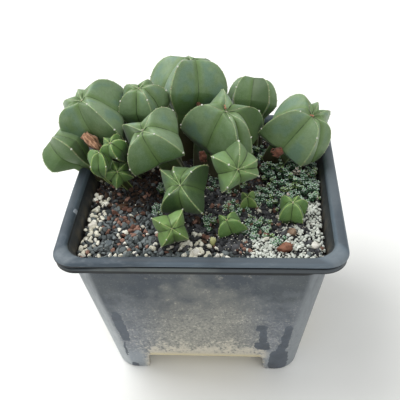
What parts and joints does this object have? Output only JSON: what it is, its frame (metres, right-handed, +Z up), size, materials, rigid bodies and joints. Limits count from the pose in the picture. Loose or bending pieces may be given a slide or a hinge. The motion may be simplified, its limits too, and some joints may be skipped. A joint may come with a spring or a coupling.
{
  "type": "potted bishops cap cactus",
  "caption": "Clump of spineless bishop's cap cactus heads and pups with broad ribs, in gravel in a square plastic nursery pot on corner feet.",
  "frame": {"origin": "on the ground under the middle of the whole width and depth, heads included; the pot itself stands 9.8 mm to +X of it, because heads overhang its left rim", "axes": "+Z is up, -Y is the side nearest the viewer, and X and Y run along the pot's square sides"},
  "size_m": [0.1696, 0.15, 0.1503],
  "materials": {
    "pot_plastic": "moulded polypropylene, black gone slate grey, thin film of lime dust",
    "gravel_mix": "dry crushed lava, pumice and baked clay",
    "cactus_skin": "waxy living skin, matt, with a woolly spot at each areole",
    "pup_skin": "waxy living skin, younger and greener",
    "withered_petals": "dry shrivelled petals, papery",
    "creeper_leaf": "plump succulent leaves with a fine bloom",
    "white_pumice": "broken pumice, chalky",
    "yellow_pumice": "broken pumice, stained yellow",
    "red_lava": "broken lava, rough",
    "brown_lava": "broken lava, rough",
    "grey_lava": "broken lava, rough",
    "bark": "dead bark splinter, dull"
  },
  "bodies": {
    "root": {"pot": "pot_plastic", "gravel_fill": "gravel_mix", "pup_front": "pup_skin", "pup_front_right": "pup_skin", "pup_right": "pup_skin", "pup_right_small": "pup_skin", "pup_left_low": "pup_skin", "pup_left_outer": "pup_skin", "pup_left_high": "pup_skin", "head_front_right": "cactus_skin", "head_front_middle": "cactus_skin", "head_front_left": "cactus_skin", "head_middle_left": "cactus_skin", "head_left": "cactus_skin", "head_centre": "cactus_skin", "head_right": "cactus_skin", "head_far_left": "cactus_skin", "head_back": "cactus_skin", "head_back_right": "cactus_skin", "withered_flower_left": "withered_petals", "withered_flower_centre": "withered_petals", "withered_flower_right": "withered_petals", "withered_flower_back": "withered_petals", "creeper_mat_right": "creeper_leaf", "creeper_tuft_middle": "creeper_leaf", "creeper_tuft_left": "creeper_leaf", "stone_red_lava": "red_lava", "stone_brown_lava": "brown_lava", "stone_yellow_pumice": "yellow_pumice", "stone_pumice_front": "white_pumice", "stone_pumice_middle": "white_pumice", "stone_pumice_corner": "white_pumice", "stone_pumice_left": "white_pumice", "stone_lava_left": "grey_lava", "bark_piece_left": "bark", "bark_piece_middle": "bark"}
  },
  "joints": []
}
